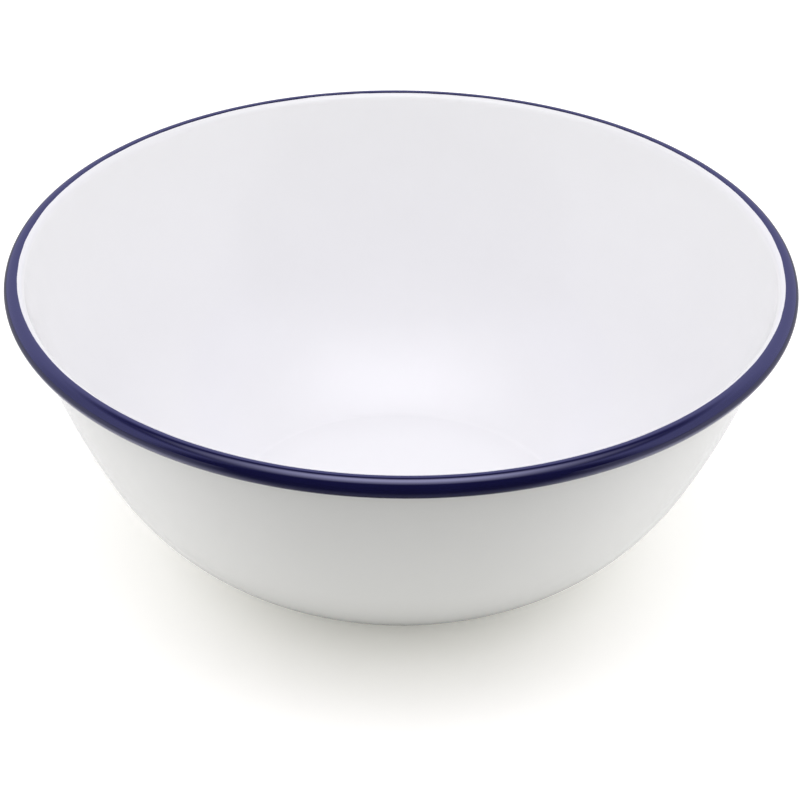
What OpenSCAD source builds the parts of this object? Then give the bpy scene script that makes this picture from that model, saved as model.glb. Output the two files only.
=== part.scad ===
// Pressed steel bowl with a hollow rolled rim, enamelled white inside and out, with a blue rim.
// Sizes are in millimetres. The origin is the centre of the plane that the bowl stands on.

/* [Overall] */
// Diameter over the rolled rim
overall_d = 240; // [228:1:252]
// Height from the resting ring to the top of the rim
overall_h = 94.5; // [88:0.5:100]

/* [Base] */
// Outer diameter of the flat ring that the bowl stands on
base_d = 109; // [100:1:116]
// Width of that flat ring
ring_w = 3; // [2:0.2:6]
// Rise of the shallow dome in the middle of the base over the ring
dome_rise = 0.6; // [0.3:0.1:1.2]
// Radius of the soft bend between ring and dome, on the inner face of the sheet
dome_edge_r = 12; // [6:1:20]

/* [Wall] */
// Radius of the heel between base and wall, on the inner face of the sheet
heel_r = 4; // [3:0.5:8]
// Slope of the wall where the heel ends
heel_angle = 24; // [20:1:28]
// Slope of the wall where its lower sweep runs into its upper sweep
blend_angle = 63.4; // [60:0.2:67]
// Slope of the wall under the rim
wall_angle = 76.8; // [75:0.2:79]

/* [Rim] */
// Diameter of the rolled bead over its enamel
bead_d = 6.2; // [5:0.1:8]
// Angle past the top of the bead to which the blue enamel runs on the inside
paint_angle = 20; // [0:1:40]
// Crevice between the tucked edge of the roll and the wall, over the enamel
curl_gap = 0.25; // [0.1:0.05:0.5]

/* [Sheet and enamel] */
// Thickness of the steel sheet
steel_t = 0.7; // [0.5:0.05:1]
// Thickness of the dark ground coat
ground_t = 0.12; // [0.08:0.02:0.2]
// Thickness of the cover coat, white on the bowl and blue on the rim
cover_t = 0.22; // [0.14:0.02:0.4]

/* [Detail] */
// Largest gap between a drawn bend and its true arc
arc_error = 0.02; // [0.01:0.01:0.05]

/* [Hidden] */

full_turn = 360;
turn_facets = 144;

// The inner face of the steel sheet is the line that everything is measured from.
// Every coat is that line set off by a distance, positive towards the inside of the bowl.
outer_depth = steel_t + ground_t + cover_t;
inner_depth = ground_t + cover_t;

// Base: a shallow dome, a soft bend down to the ring, and the flat ring itself.
ring_outer_r = base_d / 2;
ring_inner_r = ring_outer_r - ring_w;
ring_z = outer_depth;
dome_angle = 2 * atan(dome_rise / ring_inner_r);
dome_r = ring_inner_r / sin(dome_angle) - dome_edge_r;
dome_c = [0, ring_z + dome_rise - dome_r];
dome_edge_c = [ring_inner_r, ring_z + dome_edge_r];

// Rim: the sheet rolls outwards and down until its edge nearly meets the wall again.
bead_r = bead_d / 2;
bead_c = [overall_d / 2 - bead_r, overall_h - bead_r];
curl_r = bead_r - inner_depth;
curl_turn = full_turn - acos((curl_r - outer_depth - curl_gap) / bead_r);

// Wall: heel, lower sweep and upper sweep run into each other. The two sweeps take the
// radii that carry the wall from the end of the heel to the start of the roll.
heel_c = [ring_outer_r, ring_z + heel_r];
wall_foot = heel_c + heel_r * outward(heel_angle);
wall_top = bead_c - curl_r * outward(wall_angle);
wall_span = wall_top - wall_foot;
lower_chord = outward(blend_angle) - outward(heel_angle);
upper_chord = outward(wall_angle) - outward(blend_angle);
lower_r = cross(wall_span, upper_chord) / cross(lower_chord, upper_chord);
upper_r = cross(lower_chord, wall_span) / cross(lower_chord, upper_chord);
lower_c = heel_c + (heel_r - lower_r) * outward(heel_angle);
upper_c = lower_c + (lower_r - upper_r) * outward(blend_angle);

// Bends in order from the middle of the base to the edge of the roll: centre, radius
// (negative where the centre lies under the sheet), first slope, last slope, and whether
// a flat leads into the bend.
bends = [
    [dome_c, -dome_r, 0, -dome_angle, true],
    [dome_edge_c, dome_edge_r, -dome_angle, 0, false],
    [heel_c, heel_r, 0, heel_angle, true],
    [lower_c, lower_r, heel_angle, blend_angle, false],
    [upper_c, upper_r, blend_angle, wall_angle, false],
    [bead_c, -curl_r, wall_angle, paint_angle, false],
    [bead_c, -curl_r, paint_angle, wall_angle - curl_turn, false]
];
base_start = 0;
wall_end = 4;
paint_edge = 5;
curl_end = 6;

// Direction from the centre of a bend to its point of the given slope
function outward(slope) = [sin(slope), -cos(slope)];

function steps(bend) = ceil(abs(bend[3] - bend[2]) / (2 * acos(1 - arc_error / abs(bend[1]))));

function bend_point(bend, share, offset) =
    bend[0] + (bend[1] - offset) * outward(bend[2] + (bend[3] - bend[2]) * share);

// Points of the sheet's line at an offset, from one bend to another
function line(offset, first, last) = [
    for (k = [first : last])
        let (bend = bends[k], n = steps(bend))
            for (i = [(k == first || bend[4]) ? 0 : 1 : n])
                bend_point(bend, i / n, offset)
];

function reversed(points) = [for (i = [len(points) - 1 : -1 : 0]) points[i]];

// The layer between two offsets, from one bend to another, turned about the bowl's axis
module layer(from, to, first, last) {
    rotate_extrude($fn = turn_facets)
        polygon(concat(line(from, first, last), reversed(line(to, first, last))));
}

// Deep-drawn sheet with its rolled rim
module steel_shell() {
    color("#8b8f94")
        layer(-steel_t, 0, base_start, curl_end);
}

// Dark grip coat on the inside, carried over the bead to the edge of the roll
module inner_ground_coat() {
    color("#23242c")
        layer(0, ground_t, base_start, curl_end);
}

// Dark grip coat on the outside, up into the crevice under the bead
module outer_ground_coat() {
    color("#23242c")
        layer(-steel_t - ground_t, -steel_t, base_start, wall_end);
}

// White cover coat on the inside, up to the edge of the blue
module inner_white_coat() {
    color("#f1f0f4")
        layer(ground_t, inner_depth, base_start, paint_edge);
}

// White cover coat on the outside, which the bowl stands on
module outer_white_coat() {
    color("#f1f0f4")
        layer(-outer_depth, -steel_t - ground_t, base_start, wall_end);
}

// Blue cover coat over the bead
module blue_rim_coat() {
    color("#1b1857")
        layer(ground_t, inner_depth, curl_end, curl_end);
}

steel_shell();
inner_ground_coat();
outer_ground_coat();
inner_white_coat();
outer_white_coat();
blue_rim_coat();
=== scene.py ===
import math

import bpy
from mathutils import Matrix, Vector


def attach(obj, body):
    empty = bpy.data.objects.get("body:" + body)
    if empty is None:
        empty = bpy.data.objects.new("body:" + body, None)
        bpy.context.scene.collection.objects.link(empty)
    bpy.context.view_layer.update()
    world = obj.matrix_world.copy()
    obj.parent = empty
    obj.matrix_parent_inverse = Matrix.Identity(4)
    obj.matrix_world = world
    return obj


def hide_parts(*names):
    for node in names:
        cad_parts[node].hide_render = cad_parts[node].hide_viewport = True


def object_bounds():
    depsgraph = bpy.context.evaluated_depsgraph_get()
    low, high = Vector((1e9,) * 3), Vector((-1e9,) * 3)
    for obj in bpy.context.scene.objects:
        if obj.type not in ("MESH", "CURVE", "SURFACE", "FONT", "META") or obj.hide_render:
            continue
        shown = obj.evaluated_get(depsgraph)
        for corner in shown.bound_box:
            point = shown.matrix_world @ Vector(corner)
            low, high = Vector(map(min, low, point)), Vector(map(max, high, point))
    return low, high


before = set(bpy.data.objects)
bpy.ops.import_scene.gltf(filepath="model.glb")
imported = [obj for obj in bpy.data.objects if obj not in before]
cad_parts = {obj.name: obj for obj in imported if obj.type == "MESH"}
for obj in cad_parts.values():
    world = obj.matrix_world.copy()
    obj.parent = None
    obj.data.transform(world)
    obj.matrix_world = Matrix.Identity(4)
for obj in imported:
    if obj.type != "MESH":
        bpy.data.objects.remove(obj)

cad_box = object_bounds()


# Steel sheet
# One disc of soft steel, deep drawn into the bowl, with its edge rolled outwards into a hollow bead.
# It is bare metal under the enamel, and shows only deep in the crevice under the bead.
class Wire:
    """A value on its way through a node tree. Sums of wires add the nodes that work them out."""

    def __init__(self, tree, socket=None):
        self.tree = tree
        self.socket = socket

    def add(self, kind, settings=None, sockets=None, out=0):
        """Adds a node, sets what it is, then its sockets, and gives one of its outputs, if it has any."""
        node = self.tree.nodes.new(kind)
        for name, value in (settings or {}).items():
            setattr(node, name, value)
        for key, value in (sockets or {}).items():
            if isinstance(value, Wire):
                self.tree.links.new(value.socket, node.inputs[key])
            else:
                node.inputs[key].default_value = value
        return Wire(self.tree, node.outputs[out] if node.outputs else None)

    def beside(self, out):
        """Another output of the node that this value comes from."""
        return Wire(self.tree, self.socket.node.outputs[out])

    def math(self, operation, *values):
        return self.add("ShaderNodeMath", {"operation": operation}, dict(enumerate(values)))

    def __add__(self, other):
        return self.math("ADD", self, other)

    def __radd__(self, other):
        return self.math("ADD", other, self)

    def __sub__(self, other):
        return self.math("SUBTRACT", self, other)

    def __rsub__(self, other):
        return self.math("SUBTRACT", other, self)

    def __mul__(self, other):
        return self.math("MULTIPLY", self, other)

    def __rmul__(self, other):
        return self.math("MULTIPLY", other, self)

    def __truediv__(self, other):
        return self.math("DIVIDE", self, other)

    def between(self, low, high):
        """0 at low and 1 at high, with soft ends."""
        settings = {"interpolation_type": "SMOOTHSTEP"}
        return self.add("ShaderNodeMapRange", settings, {"Value": self, "From Min": low, "From Max": high})

    def colour(self, dark, light):
        """A colour that runs from dark to light as this value goes from 0 to 1."""
        settings = {"data_type": "RGBA"}
        return self.add("ShaderNodeMix", settings, {0: self, 6: dark, 7: light}, out=2)

    def parts(self):
        """The three numbers of a vector."""
        split = self.add("ShaderNodeSeparateXYZ", sockets={0: self})
        return [split.beside(axis) for axis in "XYZ"]

    def noise(self, scale, detail):
        """Cloudy variation from 0 to 1 at so many bumps a metre."""
        sockets = {"Vector": self, "Scale": scale, "Detail": detail}
        return self.add("ShaderNodeTexNoise", sockets=sockets, out="Fac")

    def spots(self, scale, size, chance):
        """1 on small round spots in a few of the cells, at so many cells a metre, and 0 elsewhere."""
        cells = self.add("ShaderNodeTexVoronoi", sockets={"Vector": self, "Scale": scale}, out="Distance")
        luck = cells.beside("Color").parts()[0]
        return (1.0 - cells.between(*size)) * luck.between(*chance)

    def bump(self, strength, distance):
        """Fine relief, with this value as its height."""
        sockets = {"Height": self, "Strength": strength, "Distance": distance}
        return self.add("ShaderNodeBump", sockets=sockets, out="Normal")


def new_material(name):
    """A material, its Principled shader and the point on the piece, in metres."""
    material = bpy.data.materials.new(name)
    material.use_nodes = True
    shader = material.node_tree.nodes["Principled BSDF"]
    place = Wire(material.node_tree).add("ShaderNodeTexCoord", out="Object")
    return material, shader, place


def feed(shader, **wires):
    """Links wires to the shader's sockets, named with underscores for spaces."""
    for name, wire in wires.items():
        wire.tree.links.new(wire.socket, shader.inputs[name.replace("_", " ")])


def drawn_steel():
    """Soft sheet, streaked up the wall by the drawing tool and stained by the furnace."""
    dull = (0.26, 0.26, 0.27, 1)
    bright = (0.52, 0.52, 0.53, 1)
    streaks_round = 40.0
    streaks_up = 12.0
    streak_share = 0.6
    stain_share = 0.4
    material, shader, place = new_material("drawn_steel")
    x, y, z = place.parts()
    angle = place.math("ARCTAN2", y, x)
    along_draw = place.add("ShaderNodeCombineXYZ", sockets={0: angle * streaks_round, 1: z * streaks_up})
    streaks = along_draw.noise(scale=1.0, detail=4.0)
    stains = place.noise(scale=60.0, detail=3.0)
    shader.inputs["Metallic"].default_value = 1.0
    feed(
        shader,
        Base_Color=(streaks * streak_share + stains * stain_share).colour(dull, bright),
        Roughness=streaks * 0.2 + 0.28,
    )
    return material


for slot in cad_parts["steel_shell"].material_slots:
    slot.material = drawn_steel()


# Ground coats
# A thin, almost black grip enamel, fired on first, inside and out, because white enamel won't hold on
# bare steel. The white and the blue hide it, apart from the depth of the crevice under the bead.
mm = 0.001


def ground_enamel():
    """Blue-black enamel with fine bubbles."""
    dark = (0.010, 0.011, 0.016, 1)
    pale = (0.024, 0.025, 0.034, 1)
    material, shader, place = new_material("ground_enamel")
    clouds = place.noise(scale=220.0, detail=3.0)
    bubbles = place.noise(scale=2600.0, detail=1.0)
    feed(
        shader,
        Base_Color=clouds.colour(dark, pale),
        Roughness=clouds * 0.15 + 0.22,
        Normal=bubbles.bump(strength=0.3, distance=0.04 * mm),
    )
    return material


ground = ground_enamel()
for node in ("inner_ground_coat", "outer_ground_coat"):
    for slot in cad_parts[node].material_slots:
        slot.material = ground


# White enamel on the inside
# A glassy cover coat, dipped and fired over the ground coat, from the base up to the bead.
# It follows the pressed sheet, and runs a little way under the blue of the rim.
steel_t = 0.7 * mm
ground_t = 0.12 * mm
cover_t = 0.22 * mm
base_r = 54.5 * mm
ring_w = 3.0 * mm
dome_rise = 0.6 * mm
dome_edge_r = 12.0 * mm
heel_r = 4.0 * mm
heel_slope = 24.0
blend_slope = 63.4
wall_slope = 76.8
bead_r = 3.1 * mm
curl_gap = 0.25 * mm
rim_r = cad_box[1].x
bowl_h = cad_box[1].z
white_end_slope = 11.0
white_facets = 288
bend_step = 2.5
dome_edge_step = 0.5
flat_step = 2.5 * mm
full_turn = 360


def outward(slope):
    """Direction from the centre of a bend to its point of the given slope, in degrees."""
    return Vector((math.sin(math.radians(slope)), -math.cos(math.radians(slope))))


def cross(a, b):
    return a.x * b.y - a.y * b.x


outer_depth = steel_t + ground_t + cover_t
inner_depth = ground_t + cover_t
ring_r = base_r - ring_w
dome_slope = math.degrees(2 * math.atan(dome_rise / ring_r))
dome_r = ring_r / math.sin(math.radians(dome_slope)) - dome_edge_r
dome_c = Vector((0, outer_depth + dome_rise - dome_r))
dome_edge_c = Vector((ring_r, outer_depth + dome_edge_r))
bead_c = Vector((rim_r - bead_r, bowl_h - bead_r))
curl_r = bead_r - inner_depth
curl_turn = full_turn - math.degrees(math.acos((curl_r - outer_depth - curl_gap) / bead_r))
curl_end_slope = wall_slope - curl_turn
heel_c = Vector((base_r, outer_depth + heel_r))
wall_span = bead_c - curl_r * outward(wall_slope) - heel_c - heel_r * outward(heel_slope)
low_chord = outward(blend_slope) - outward(heel_slope)
high_chord = outward(wall_slope) - outward(blend_slope)
low_r = cross(wall_span, high_chord) / cross(low_chord, high_chord)
high_r = cross(low_chord, wall_span) / cross(low_chord, high_chord)
low_c = heel_c + (heel_r - low_r) * outward(heel_slope)
high_c = low_c + (low_r - high_r) * outward(blend_slope)


def bend(centre, radius, start, end, offset, step=bend_step):
    """Points along one bend of the sheet, set off from its inner face towards the inside of the bowl."""
    length = abs(math.radians(end - start) * radius)
    count = max(math.ceil(abs(end - start) / step), math.ceil(length / flat_step))
    slopes = [start + (end - start) * i / count for i in range(count + 1)]
    return [centre + (radius - offset) * outward(slope) for slope in slopes]


def bowl_line(offset):
    """The bowl's line at an offset, from the axis to the top of the wall."""
    dome = bend(dome_c, -dome_r, 0, -dome_slope, offset)
    dome_edge = bend(dome_edge_c, dome_edge_r, -dome_slope, 0, offset, dome_edge_step)
    heel = bend(heel_c, heel_r, 0, heel_slope, offset)
    low = bend(low_c, low_r, heel_slope, blend_slope, offset)
    high = bend(high_c, high_r, blend_slope, wall_slope, offset)
    return dome + dome_edge[1:] + heel + low[1:] + high[1:]


def white_line(offset):
    """The bowl's line at an offset, carried on over the bead to the end of the white."""
    return bowl_line(offset) + bend(bead_c, -curl_r, wall_slope, white_end_slope, offset)[1:]


def turning_tree():
    """Turns a closed outline about the bowl's axis. The outline's points may slide, as fired edges wander."""
    half = 0.5
    weld_gap = 0.002 * mm
    corner_angle = math.radians(35)
    tree = bpy.data.node_groups.new("turn_on_axis", "GeometryNodeTree")
    inputs = {}
    for name, kind in (
        ("Outline", "NodeSocketGeometry"),
        ("Around", "NodeSocketInt"),
        ("Wander", "NodeSocketFloat"),
        ("Wander Grain", "NodeSocketFloat"),
        ("Seed", "NodeSocketFloat"),
        ("Enamel", "NodeSocketMaterial"),
    ):
        inputs[name] = tree.interface.new_socket(name, in_out="INPUT", socket_type=kind).identifier
    tree.interface.new_socket("Coat", in_out="OUTPUT", socket_type="NodeSocketGeometry")
    start = Wire(tree)
    first = start.add("NodeGroupInput")
    given = {name: first.beside(name) for name in inputs}
    points = start.add("GeometryNodeAttributeDomainSize", sockets={0: given["Outline"]}, out="Point Count")
    sockets = {"Size X": 1.0, "Size Y": 1.0, "Vertices X": points + 1.0, "Vertices Y": given["Around"] + 1.0}
    grid = start.add("GeometryNodeMeshGrid", sockets=sockets)
    place = start.add("GeometryNodeInputPosition")
    across, along = place.parts()[:2]
    index = start.math("ROUND", (across + half) * points)
    index = start.math("FLOORED_MODULO", index, points)

    def outline_value(value):
        settings = {"data_type": "FLOAT_VECTOR"}
        return start.add("GeometryNodeSampleIndex", settings, {0: given["Outline"], 1: value, "Index": index})

    angle = (along + half) * math.tau
    cosine = start.math("COSINE", angle)
    sine = start.math("SINE", angle)
    grain = given["Wander Grain"]
    ring = start.add("ShaderNodeCombineXYZ", sockets={0: cosine * grain, 1: sine * grain, 2: given["Seed"]})
    wander = (ring.noise(scale=1.0, detail=4.0) - half) * given["Wander"]
    slide = start.add("GeometryNodeInputNamedAttribute", {"data_type": "FLOAT_VECTOR"}, {"Name": "slide"})
    sockets = {0: outline_value(slide), "Scale": wander}
    shift = start.add("ShaderNodeVectorMath", {"operation": "SCALE"}, sockets)
    moved = start.add("ShaderNodeVectorMath", {"operation": "ADD"}, {0: outline_value(place), 1: shift})
    radius, level = moved.parts()[::2]
    turned = start.add("ShaderNodeCombineXYZ", sockets={0: radius * cosine, 1: radius * sine, 2: level})
    coat = start.add("GeometryNodeSetPosition", sockets={"Geometry": grid, "Position": turned})
    coat = start.add("GeometryNodeMergeByDistance", sockets={"Geometry": coat, "Distance": weld_gap})
    sockets = {"Geometry": coat, "Shade Smooth": True}
    coat = start.add("GeometryNodeSetShadeSmooth", {"domain": "FACE"}, sockets)
    corner = start.math("GREATER_THAN", start.add("GeometryNodeInputMeshEdgeAngle"), corner_angle)
    sockets = {"Geometry": coat, "Selection": corner, "Shade Smooth": False}
    coat = start.add("GeometryNodeSetShadeSmooth", {"domain": "EDGE"}, sockets)
    coat = start.add("GeometryNodeRealizeInstances", sockets={"Geometry": coat})
    coat = start.add("GeometryNodeSetMaterial", sockets={"Geometry": coat, "Material": given["Enamel"]})
    start.add("NodeGroupOutput", sockets={0: coat})
    return tree, inputs


turn_tree, turn_inputs = turning_tree()


def turned_coat(name, outline, enamel, around, slides=None, wander=0.0, grain=1.0, seed=0.0):
    """A closed coat of enamel, turned from an outline of points in radius and height."""
    mesh = bpy.data.meshes.new(name + "_outline")
    mesh.from_pydata([(p.x, 0, p.y) for p in outline], [], [])
    slide = mesh.attributes.new("slide", "FLOAT_VECTOR", "POINT")
    for item, move in zip(slide.data, slides or [Vector((0, 0))] * len(outline)):
        item.vector = (move.x, 0, move.y)
    coat = bpy.data.objects.new(name, mesh)
    bpy.context.scene.collection.objects.link(coat)
    turn = coat.modifiers.new("turn", "NODES")
    turn.node_group = turn_tree
    values = {"Around": around, "Wander": wander, "Wander Grain": grain, "Seed": seed, "Enamel": enamel}
    for key, value in values.items():
        turn[turn_inputs[key]] = value
    finished = coat.evaluated_get(bpy.context.evaluated_depsgraph_get())
    coat.data = bpy.data.meshes.new_from_object(finished)
    coat.modifiers.clear()
    return coat


def white_enamel():
    """Milky glass with a few iron specks, with painted shade greying the base and the white where it curls up
    into the bead of the rim.
    """
    milk_dark = (0.843, 0.843, 0.848, 1)
    milk_pale = (0.863, 0.863, 0.868, 1)
    base_painted_shade = (0.827, 0.827, 0.833, 1)
    rim_curl_painted_shade = (0.795, 0.795, 0.800, 1)
    iron = (0.10, 0.09, 0.08, 1)
    speck_strength = 0.75
    material, shader, place = new_material("white_enamel")
    clouds = place.noise(scale=38.0, detail=3.0)
    peel = place.noise(scale=420.0, detail=2.0)
    specks = place.spots(scale=70.0, size=(0.012, 0.026), chance=(0.86, 0.88))
    x, y, z = place.parts()
    past_base_mm = (place.math("SQRT", x * x + y * y) - base_r) / mm
    below_top_mm = (bowl_h - z) / mm
    milk = clouds.colour(milk_dark, milk_pale)
    # Painted shade: the white is made greyer over the base.
    milk = past_base_mm.between(0.9, -0.6).colour(milk, base_painted_shade)
    # Painted shade: the white is made greyer within about two millimetres of the top, where it curls up into
    # the bead.
    milk = below_top_mm.between(2.4, 1.0).colour(milk, rim_curl_painted_shade)
    shader.inputs["IOR"].default_value = 1.45
    feed(
        shader,
        Base_Color=(specks * speck_strength).colour(milk, iron),
        Roughness=clouds * 0.06 + 0.09,
        Normal=peel.bump(strength=0.15, distance=0.05 * mm),
    )
    return material


white = white_enamel()
inner_outline = white_line(inner_depth) + white_line(ground_t)[::-1]
inner_white = turned_coat("inner_white_enamel", inner_outline, white, white_facets)
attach(inner_white, "root")
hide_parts("inner_white_coat")


# White enamel on the outside
# The same cover coat on the outside and the underside, up into the crevice under the bead.
# The bowl stands on it, on the flat ring round the domed middle of the base.
outer_outline = bowl_line(-steel_t - ground_t) + bowl_line(-outer_depth)[::-1]
outer_white = turned_coat("outer_white_enamel", outer_outline, white, white_facets)
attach(outer_white, "root")
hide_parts("outer_white_coat")


# Blue enamel on the rim
# A band of deep blue enamel, drawn round the bead by hand over the edge of the white, and fired.
# Its inner edge wanders by a fraction of a millimetre and lies a little proud of the white.
blue_start_slope = 20.0
lip_t = 0.05 * mm
lip_turn = 4.0
lip_end_slope = -40.0
hold_slope = 13.0
lap_sink = 0.02 * mm
edge_step = 0.7
face_step = 4.5
back_step = 9.0
lap_step = 2.0


def lip(slope):
    """How far the blue stands proud: rounded at its edge, and gone at the outside of the bead."""
    edge = min((blue_start_slope - slope) / lip_turn, 1)
    fade = min(max((slope - lip_end_slope) / -lip_end_slope, 0), 1)
    return lip_t * math.sqrt(max(1 - (1 - edge) ** 2, 0)) * fade


def slide_at(slope):
    """A unit step along the bead where its edge may wander, fading out under the lip."""
    share = min(max((slope - hold_slope) / (blue_start_slope - hold_slope), 0), 1)
    return share * Vector((-math.cos(math.radians(slope)), -math.sin(math.radians(slope))))


def steps(start, end, step):
    count = math.ceil(abs(end - start) / step)
    return [start + (end - start) * i / count for i in range(count + 1)]


def bead_point(slope, offset):
    return bead_c - (curl_r + offset) * outward(slope)


face_slopes = steps(blue_start_slope, hold_slope, edge_step)
face_slopes += steps(hold_slope, curl_end_slope, face_step)[1:]
back_slopes = steps(curl_end_slope, white_end_slope, back_step)
lap_slopes = steps(white_end_slope, blue_start_slope, lap_step)[:-1]
blue_outline = [bead_point(s, inner_depth + lip(s)) for s in face_slopes]
blue_outline += [bead_point(s, ground_t) for s in back_slopes]
blue_outline += [bead_point(s, inner_depth - lap_sink) for s in lap_slopes]
blue_slides = [slide_at(s) for s in face_slopes + back_slopes + lap_slopes]


def blue_enamel():
    """Deep blue glass with a soft orange peel and a few fine nibs."""
    deep_blue = (0.0050, 0.0048, 0.037, 1)
    pale_blue = (0.0070, 0.0066, 0.050, 1)
    blue_gloss = (0.72, 0.73, 1.0, 1)
    peel_share = 0.2
    material, shader, place = new_material("blue_enamel")
    clouds = place.noise(scale=90.0, detail=3.0)
    peel = place.noise(scale=500.0, detail=2.0)
    nibs = place.spots(scale=260.0, size=(0.03, 0.10), chance=(0.90, 0.91))
    shader.inputs["IOR"].default_value = 2.3
    shader.inputs["Specular Tint"].default_value = blue_gloss
    feed(
        shader,
        Base_Color=clouds.colour(deep_blue, pale_blue),
        Roughness=clouds * 0.04 + 0.05,
        Normal=(peel * peel_share + nibs).bump(strength=0.2, distance=0.06 * mm),
    )
    return material


blue_rim = turned_coat(
    "blue_rim_enamel",
    blue_outline,
    blue_enamel(),
    around=900,
    slides=blue_slides,
    wander=0.5 * mm,
    grain=9.0,
    seed=3.0,
)
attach(blue_rim, "root")
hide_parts("blue_rim_coat")


# Table and light
# The bowl stands near the front edge of a white table in a pale room, which its gloss shows dimmer, and
# dark behind the camera. One large lamp with soft edges and a brighter middle hangs over the table.
black = (0, 0, 0, 1)
table_size = 8.0
half = table_size / 2
table_corners = [(-half, -half, 0), (half, -half, 0), (half, half, 0), (-half, half, 0)]
table_mesh = bpy.data.meshes.new("table")
table_mesh.from_pydata(table_corners, [], [(0, 1, 2, 3)])
table = bpy.data.objects.new("table", table_mesh)
bpy.context.scene.collection.objects.link(table)


def table_paint():
    """White paint, in one tone as light on the bowl, in another in its gloss, in a third to the eye."""
    unlit_front = (0.05, 0.05, 0.05, 1)
    lit_top = (0.92, 0.925, 0.865, 1)
    seen_top = (1.0, 0.99, 0.96, 1)
    lit_glow = 0.11
    lit_least = 0.04
    seen_glow = 0.205
    shade_depth = 0.15
    mirrored_near = 0.58
    mirrored_far = 0.22
    mirrored_front = 0.12
    mirrored_least = 0.02
    material = bpy.data.materials.new("table_paint")
    material.use_nodes = True
    material.node_tree.nodes.clear()
    start = Wire(material.node_tree)
    place = start.add("ShaderNodeTexCoord", out="Object")
    x, y = place.parts()[:2]
    away = start.add("ShaderNodeVectorMath", {"operation": "LENGTH"}, {0: place}, out="Value")
    aside = start.math("ABSOLUTE", x)

    def matte(paint, glow):
        """A dull paint of some colour, with a glow of its own."""
        sockets = {"Base Color": paint, "Roughness": 1.0, "Specular IOR Level": 0.0}
        sockets.update({"Emission Color": glow, "Emission Strength": 1.0})
        return start.add("ShaderNodeBsdfPrincipled", sockets=sockets)

    # Painted light and painted reflection: beside and behind the bowl the table has a glow of its own that
    # lights the bowl, and shows paler in the bowl's gloss.
    pale = (aside + y).between(-0.1, 0.06)
    lit = matte(y.between(-0.25, -0.145).colour(unlit_front, lit_top), pale * lit_glow + lit_least)
    # Painted shadow: the glow that the camera sees on the table is lowered close to the bowl.
    shade = (1.0 - away.between(0.07, 0.12)) * (1.0 - aside.between(0.02, 0.1))
    seen = matte(seen_top, seen_glow - shade * shade_depth)
    near = 1.0 - away.between(0.15, 0.24)
    front = y.between(-0.24, -0.15)
    mirrored = pale * (near * mirrored_near + mirrored_far) + front * mirrored_front + mirrored_least
    camera_ray = start.add("ShaderNodeLightPath", out="Is Camera Ray")
    sockets = {0: camera_ray.beside("Is Glossy Ray"), 1: lit, 2: matte(mirrored, black)}
    surface = start.add("ShaderNodeMixShader", sockets=sockets)
    surface = start.add("ShaderNodeMixShader", sockets={0: camera_ray, 1: surface, 2: seen})
    start.add("ShaderNodeOutputMaterial", sockets={"Surface": surface})
    return material


table_mesh.materials.append(table_paint())

front_wall = (0.78, 0.79, 0.72, 1)
back_wall = (1.10, 1.10, 1.06, 1)
side_wall = (1.15, 1.15, 1.10, 1)
upper_wall = (0.825, 0.82, 0.84, 1)
ceiling = (0.95, 0.94, 0.98, 1)
backdrop = (1, 1, 1, 1)
mirrored_tint = (0.94, 0.94, 1.43, 1)
mirrored_room = 0.36
mirrored_back = 0.16
mirrored_least = 0.02
room = bpy.data.worlds.new("room")
room.use_nodes = True
room.node_tree.nodes.clear()
bpy.context.scene.world = room
sky = Wire(room.node_tree)
side, depth, rise = sky.add("ShaderNodeTexCoord", out="Generated").parts()
walls = depth.between(-0.7, -0.4).colour(front_wall, back_wall)
walls = sky.math("ABSOLUTE", side).between(0.7, 0.95).colour(walls, side_wall)
walls = rise.between(0.2, 0.5).colour(walls, upper_wall)
walls = rise.between(0.8, 0.93).colour(walls, ceiling)
mirrored = depth.between(0.2, 0.6) * mirrored_back + mirrored_room
mirrored = (1.0 - rise.between(0.62, 0.82)) * mirrored * depth.between(-0.6, -0.25) + mirrored_least
glossy_ray = sky.add("ShaderNodeLightPath", out="Is Glossy Ray")
walls = glossy_ray.colour(walls, mirrored.colour(black, mirrored_tint))
walls = glossy_ray.beside("Is Camera Ray").colour(walls, backdrop)
background = sky.add("ShaderNodeBackground", sockets={"Color": walls, "Strength": 1.0})
sky.add("ShaderNodeOutputWorld", sockets={"Surface": background})


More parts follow.
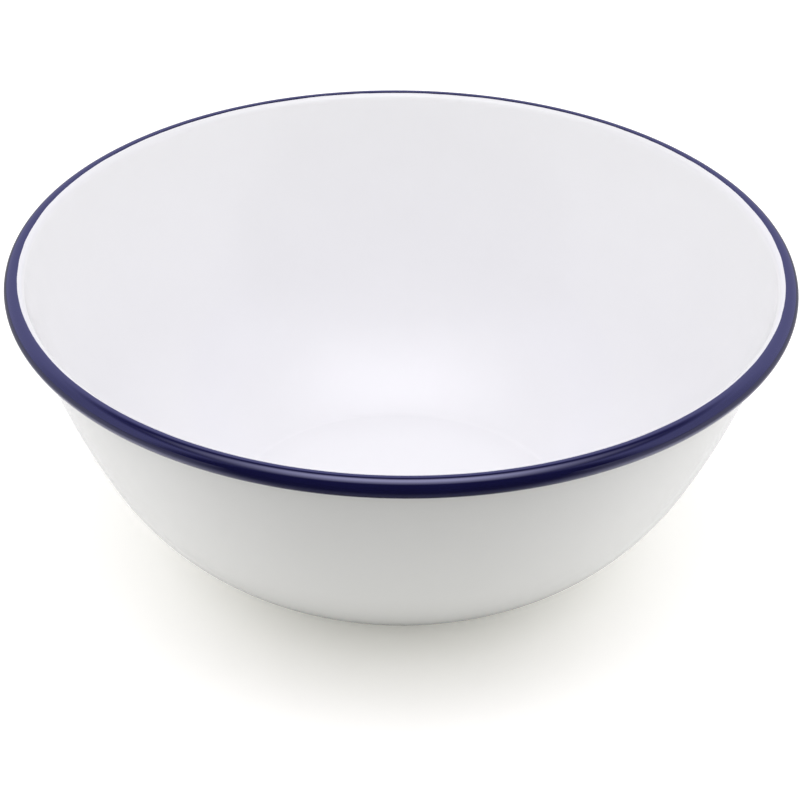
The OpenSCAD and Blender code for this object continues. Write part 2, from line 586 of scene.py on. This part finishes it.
def soft_lamp(name, width, depth, softness, radiance, place):
    """A sheet of cloth lit from behind, that fades towards its edges."""
    data = bpy.data.lights.new(name, "AREA")
    data.shape = "RECTANGLE"
    data.size = width
    data.size_y = depth
    data.energy = radiance * math.pi * width * depth
    data.color = (1.0, 0.975, 1.06)
    data.use_nodes = True
    data.node_tree.nodes.clear()
    start = Wire(data.node_tree)
    across, along = start.add("ShaderNodeNewGeometry", out="Parametric").parts()[:2]
    fade = start.math("MINIMUM", across, 1.0 - across).between(0.0, softness)
    fade = start.math("MINIMUM", along, 1.0 - along).between(0.0, softness) * fade
    glow = start.add("ShaderNodeEmission", sockets={"Color": fade, "Strength": 1.0})
    start.add("ShaderNodeOutputLight", sockets={"Surface": glow})
    lamp = bpy.data.objects.new(name, data)
    lamp.location = place
    bpy.context.scene.collection.objects.link(lamp)


soft_lamp("soft_lamp", width=1.75, depth=1.25, softness=0.42, radiance=1.31, place=(0.0, -0.2, 1.0))
soft_lamp("lamp_middle", width=0.9, depth=0.8, softness=0.45, radiance=0.95, place=(0.02, -0.03, 0.99))


# Camera
# At the photograph's height and distance, turned down so that the bowl sits high in a square picture.
frame_px = 800
focal_px = 2358.0
sensor_mm = 36.0
camera_far = 6 * rim_r
elevation_deg = 29.69
look_down_deg = 3.235
camera_elevation = math.radians(elevation_deg)
camera_pitch = math.radians(elevation_deg + look_down_deg)
camera_roll = math.radians(0.65)
camera_data = bpy.data.cameras.new("camera")
camera_data.sensor_width = sensor_mm
camera_data.lens = focal_px / frame_px * sensor_mm
camera = bpy.data.objects.new("camera", camera_data)
bpy.context.scene.collection.objects.link(camera)
eye_back = camera_far * math.cos(camera_elevation)
eye_up = bead_c.y + camera_far * math.sin(camera_elevation)
look = Matrix.Rotation(math.pi / 2 - camera_pitch, 4, "X") @ Matrix.Rotation(camera_roll, 4, "Z")
camera.matrix_world = Matrix.Translation(Vector((0, -eye_back, eye_up))) @ look
bpy.context.scene.camera = camera
bpy.context.scene.view_settings.view_transform = "Standard"
